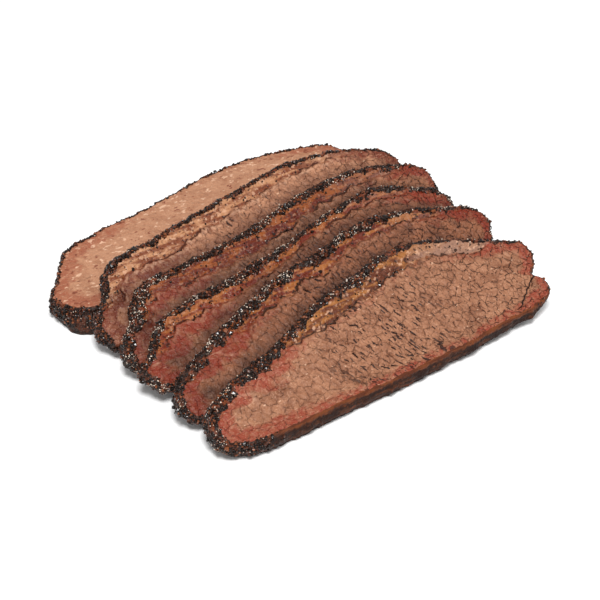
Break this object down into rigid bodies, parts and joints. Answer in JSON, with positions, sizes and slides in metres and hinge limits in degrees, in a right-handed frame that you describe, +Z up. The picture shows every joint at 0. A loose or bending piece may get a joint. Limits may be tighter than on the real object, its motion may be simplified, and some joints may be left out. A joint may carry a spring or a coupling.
{
  "type": "sliced beef brisket",
  "caption": "Thick slices of smoked beef brisket with a dark peppered crust, shingled one on the next as carved, lying on their flat undersides.",
  "frame": {"origin": "on the floor, under the middle of the box round the whole stack", "axes": "+X along the slices towards their blunt right end, +Y from the front slice on top to the flat back slice, +Z up"},
  "size_m": [0.2498, 0.222, 0.0429],
  "materials": {
    "meat": null
  },
  "bodies": {
    "root": {"slice_front": "meat", "slice_second": "meat", "slice_third": "meat", "slice_fourth": "meat", "slice_fifth": "meat", "slice_back": "meat"}
  },
  "joints": []
}
